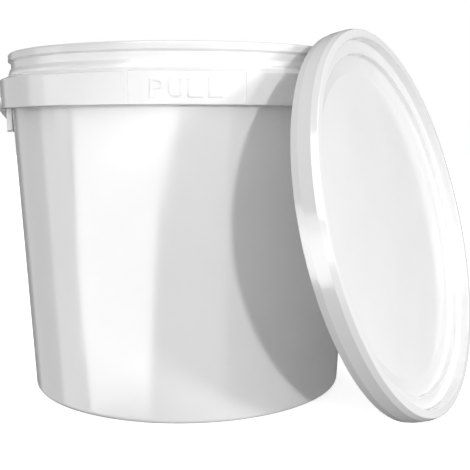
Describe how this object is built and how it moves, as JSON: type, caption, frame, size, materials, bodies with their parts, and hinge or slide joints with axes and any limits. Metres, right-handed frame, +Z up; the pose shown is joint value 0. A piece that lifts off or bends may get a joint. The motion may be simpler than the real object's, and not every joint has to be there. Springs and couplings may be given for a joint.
{
  "type": "plastic bucket with lid",
  "caption": "Round white moulded bucket with a hanging collar, a swinging handle, and its snap lid leaning against it.",
  "frame": {"origin": "on the bucket's axis, at the height of the surface that the bucket and the lid stand on", "axes": "+Z up along the bucket's axis, -Y towards the tear segment at the front, +X and -X towards the two handle lugs"},
  "size_m": [0.3575, 0.3364, 0.2532],
  "materials": {
    "white_plastic": "smooth moulded gloss"
  },
  "bodies": {
    "bucket": {"tub": "white_plastic", "lid": "white_plastic"},
    "handle": {"handle": "white_plastic"}
  },
  "joints": [
    {"name": "handle_swing", "type": "hinge", "parent": "bucket", "child": "handle", "pos_m": [0, 0, 0.2092], "axis": [1, 0, 0], "range_deg": [0, 142]}
  ]
}
